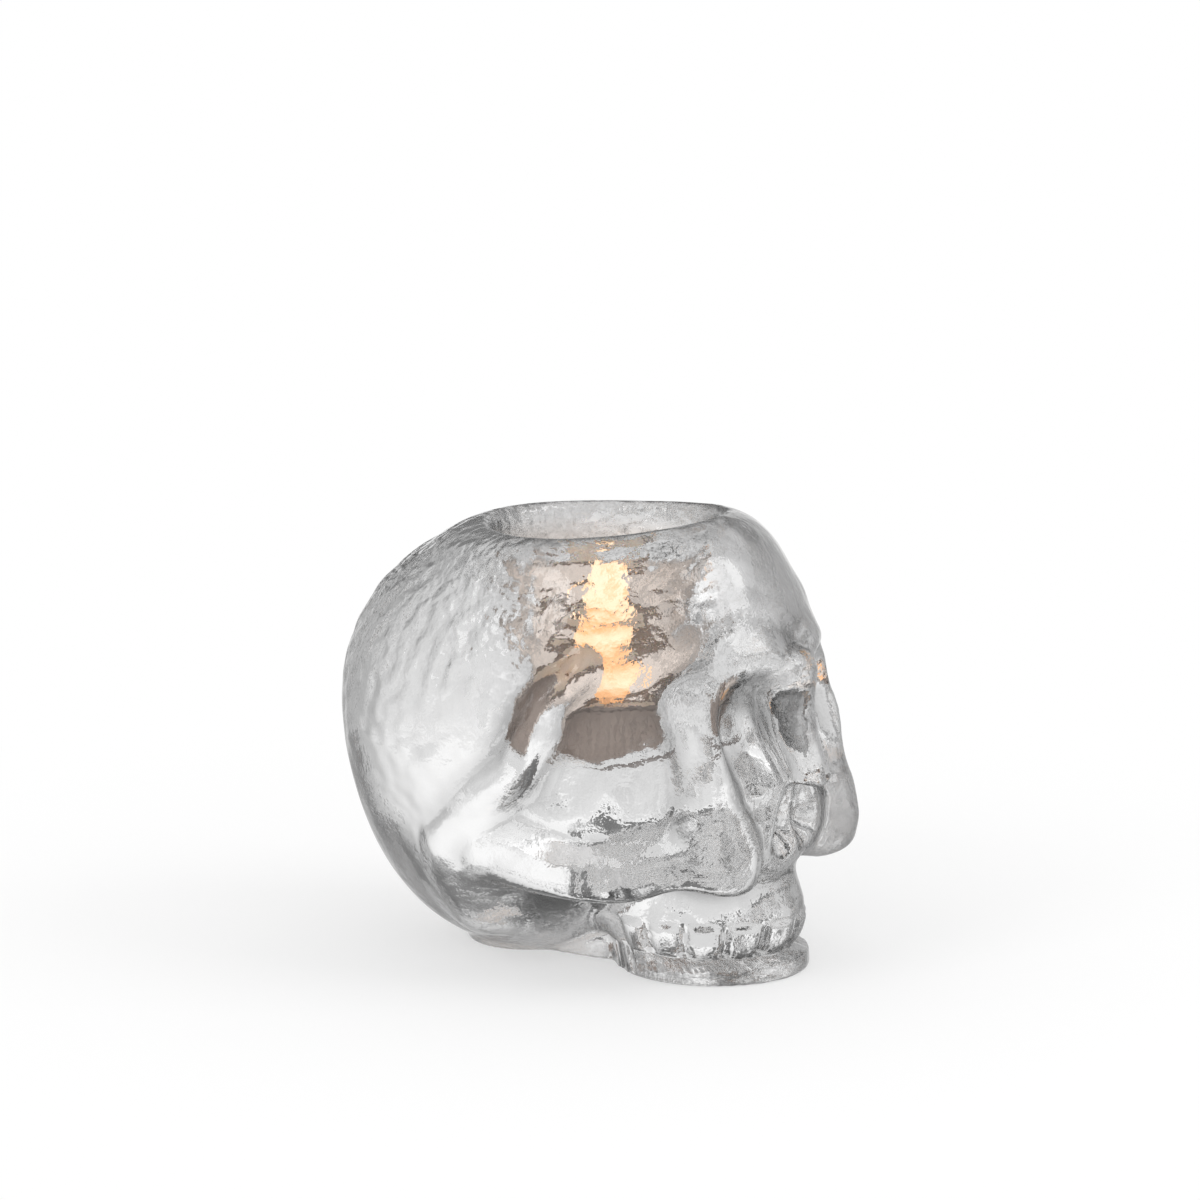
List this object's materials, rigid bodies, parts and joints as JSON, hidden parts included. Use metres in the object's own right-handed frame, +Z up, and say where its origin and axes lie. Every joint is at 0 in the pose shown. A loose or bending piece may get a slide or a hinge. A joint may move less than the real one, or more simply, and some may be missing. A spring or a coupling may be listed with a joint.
{
  "type": "skull candle holder",
  "caption": "Clear pressed-glass skull without a lower jaw, with a round candle well in its crown that holds a tealight in an aluminium cup.",
  "frame": {"origin": "on the ground plane, on the flat-ground underside of the glass, on the axis of the candle well", "axes": "the face looks along -Y, the back of the head is at +Y, the skull's left side is at +X, +Z is up"},
  "size_m": [0.0872, 0.1101, 0.0947],
  "materials": {
    "glass": "clear soda-lime pressed glass, fire-polished, faint hammered texture on the cranium",
    "cup_aluminium": "thin drawn aluminium, bright",
    "wax": "off-white candle wax, slightly translucent, dished where it has melted",
    "clip_steel": "thin tinned steel",
    "wick_cotton": "braided cotton, charred"
  },
  "bodies": {
    "root": {"glass_skull": "glass", "tealight_cup": "cup_aluminium", "tealight_wax": "wax", "wick_clip": "clip_steel", "wick": "wick_cotton"}
  },
  "joints": []
}
